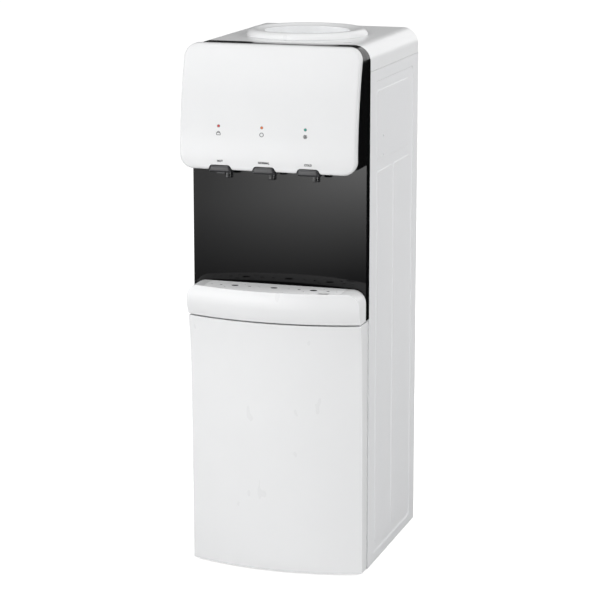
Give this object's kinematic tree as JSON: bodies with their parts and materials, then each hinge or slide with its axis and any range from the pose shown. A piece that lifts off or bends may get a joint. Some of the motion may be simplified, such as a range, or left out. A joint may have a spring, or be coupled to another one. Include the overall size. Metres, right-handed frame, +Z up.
{
  "type": "water dispenser",
  "caption": "Free-standing top-load water dispenser with a slanted white fascia, press-paddle taps, a curved alcove, a drip tray and a bowed cabinet door.",
  "frame": {"origin": "middle of the whole footprint, on the floor", "axes": "+X is the right side seen from the front, the front faces -Y, +Z is up"},
  "size_m": [0.31, 0.4162, 0.93],
  "materials": {
    "white_shell": "smooth moulded white plastic",
    "grey_panel": "smooth moulded pale grey plastic",
    "black_shell": "glossy black plastic",
    "dark_lever": "dark grey moulded plastic",
    "tray_plastic": "pale moulded plastic",
    "seat_plastic": "food-grade white plastic",
    "liner_plastic": "plain moulded plastic",
    "galvanised_sheet": "galvanised sheet steel",
    "black_steel": "black enamelled steel",
    "stainless": "brushed stainless steel",
    "copper_tube": "drawn copper tube",
    "soft_rubber": "moulded rubber",
    "silicone_hose": "milky silicone tube",
    "insulation": "white foam and felt",
    "indicator_lens": "tinted lens plastic",
    "circuit_board": "green laminate",
    "magnet_strip": "brown-black magnet strip"
  },
  "bodies": {
    "cabinet": {"back_panel": "galvanised_sheet", "base_pan": "galvanised_sheet", "bottle_collar": "white_shell", "cold_hose": "silicone_hose", "cold_tank": "stainless", "cold_tank_foam": "insulation", "cold_tank_lid": "seat_plastic", "cold_tap_body": "black_shell", "cold_valve_spring": "stainless", "compressor": "black_steel", "compressor_grommets": "soft_rubber", "condenser": "black_steel", "condenser_wires": "black_steel", "cord_gland": "black_shell", "door_catch": "magnet_strip", "evaporator_coil": "copper_tube", "fascia_panel": "white_shell", "feed_hose": "silicone_hose", "feet": "soft_rubber", "front_frame": "black_shell", "heater_band": "stainless", "hinge_pins": "stainless", "hot_hose": "silicone_hose", "hot_tank": "stainless", "hot_tank_jacket": "insulation", "hot_tap_body": "black_shell", "hot_valve_spring": "stainless", "indicator_board": "circuit_board", "indicator_leds": "indicator_lens", "lever_pins": "stainless", "normal_hose": "silicone_hose", "normal_tap_body": "black_shell", "normal_valve_spring": "stainless", "screws": "stainless", "side_panel_left": "grey_panel", "side_panel_right": "grey_panel", "storage_liner": "liner_plastic", "switch_box": "black_shell", "tank_frame": "galvanised_sheet", "tap_bonnets": "black_shell", "tap_housing": "black_shell", "tap_nuts": "seat_plastic", "top_cover": "white_shell", "tray_shelf": "white_shell"},
    "door": {"cabinet_door": "white_shell", "door_liner": "liner_plastic"},
    "hot_lever": {"hot_tap_lever": "dark_lever"},
    "normal_lever": {"normal_tap_lever": "dark_lever"},
    "cold_lever": {"cold_tap_lever": "dark_lever"},
    "child_lock_tab": {"child_lock": "dark_lever"},
    "hot_valve": {"hot_valve_plunger": "soft_rubber"},
    "normal_valve": {"normal_valve_plunger": "soft_rubber"},
    "cold_valve": {"cold_valve_plunger": "soft_rubber"},
    "seat": {"bottle_seat": "seat_plastic", "bottle_probe": "seat_plastic"},
    "tray": {"drip_tray": "tray_plastic"},
    "grille": {"drip_grille": "tray_plastic"},
    "heating_rocker": {"heating_switch": "black_shell"},
    "cooling_rocker": {"cooling_switch": "black_shell"},
    "cap": {"drain_cap": "black_shell"}
  },
  "joints": [
    {"name": "door_hinge", "type": "hinge", "parent": "cabinet", "child": "door", "pos_m": [0.148, -0.1285, 0.227], "axis": [0, 0, 1], "range_deg": [0, 95]},
    {"name": "hot_lever_pivot", "type": "hinge", "parent": "cabinet", "child": "hot_lever", "pos_m": [-0.083, -0.173, 0.753], "axis": [1, 0, 0], "range_deg": [0, 12], "stiffness_Nm_per_rad": 0.8, "springref_deg": -5.73},
    {"name": "hot_valve_lift", "type": "slide", "parent": "cabinet", "child": "hot_valve", "axis": [0, 0, 1], "range_m": [0, 0.00377], "deforming": ["hot_valve_spring"]},
    {"name": "normal_lever_pivot", "type": "hinge", "parent": "cabinet", "child": "normal_lever", "pos_m": [-0.0055, -0.173, 0.753], "axis": [1, 0, 0], "range_deg": [0, 12], "stiffness_Nm_per_rad": 0.8, "springref_deg": -5.73},
    {"name": "normal_valve_lift", "type": "slide", "parent": "cabinet", "child": "normal_valve", "axis": [0, 0, 1], "range_m": [0, 0.00377], "deforming": ["normal_valve_spring"]},
    {"name": "cold_lever_pivot", "type": "hinge", "parent": "cabinet", "child": "cold_lever", "pos_m": [0.072, -0.173, 0.753], "axis": [1, 0, 0], "range_deg": [0, 12], "stiffness_Nm_per_rad": 0.8, "springref_deg": -5.73},
    {"name": "cold_valve_lift", "type": "slide", "parent": "cabinet", "child": "cold_valve", "axis": [0, 0, 1], "range_m": [0, 0.00377], "deforming": ["cold_valve_spring"]},
    {"name": "child_lock_slide", "type": "slide", "parent": "hot_lever", "child": "child_lock_tab", "axis": [1, 0, 0], "range_m": [0, 0.004]},
    {"name": "seat_lift", "type": "slide", "parent": "cabinet", "child": "seat", "axis": [0, 0, 1], "range_m": [0, 0.09]},
    {"name": "tray_lift", "type": "slide", "parent": "cabinet", "child": "tray", "axis": [0, 0, 1], "range_m": [0, 0.12]},
    {"name": "grille_lift", "type": "slide", "parent": "tray", "child": "grille", "axis": [0, 0, 1], "range_m": [0, 0.05]},
    {"name": "heating_rocker_pivot", "type": "hinge", "parent": "cabinet", "child": "heating_rocker", "pos_m": [-0.1019, 0.187, 0.8], "axis": [1, 0, 0], "range_deg": [0, 16]},
    {"name": "cooling_rocker_pivot", "type": "hinge", "parent": "cabinet", "child": "cooling_rocker", "pos_m": [-0.0781, 0.187, 0.8], "axis": [1, 0, 0], "range_deg": [0, 16]},
    {"name": "drain_cap_pull", "type": "slide", "parent": "cabinet", "child": "cap", "axis": [0, 1, 0], "range_m": [0, 0.02]}
  ],
  "couplings": [
    {"joint": "hot_lever_pivot", "follows": "hot_valve_lift", "rad_per_m": 55.55},
    {"joint": "normal_lever_pivot", "follows": "normal_valve_lift", "rad_per_m": 55.55},
    {"joint": "cold_lever_pivot", "follows": "cold_valve_lift", "rad_per_m": 55.55}
  ]
}
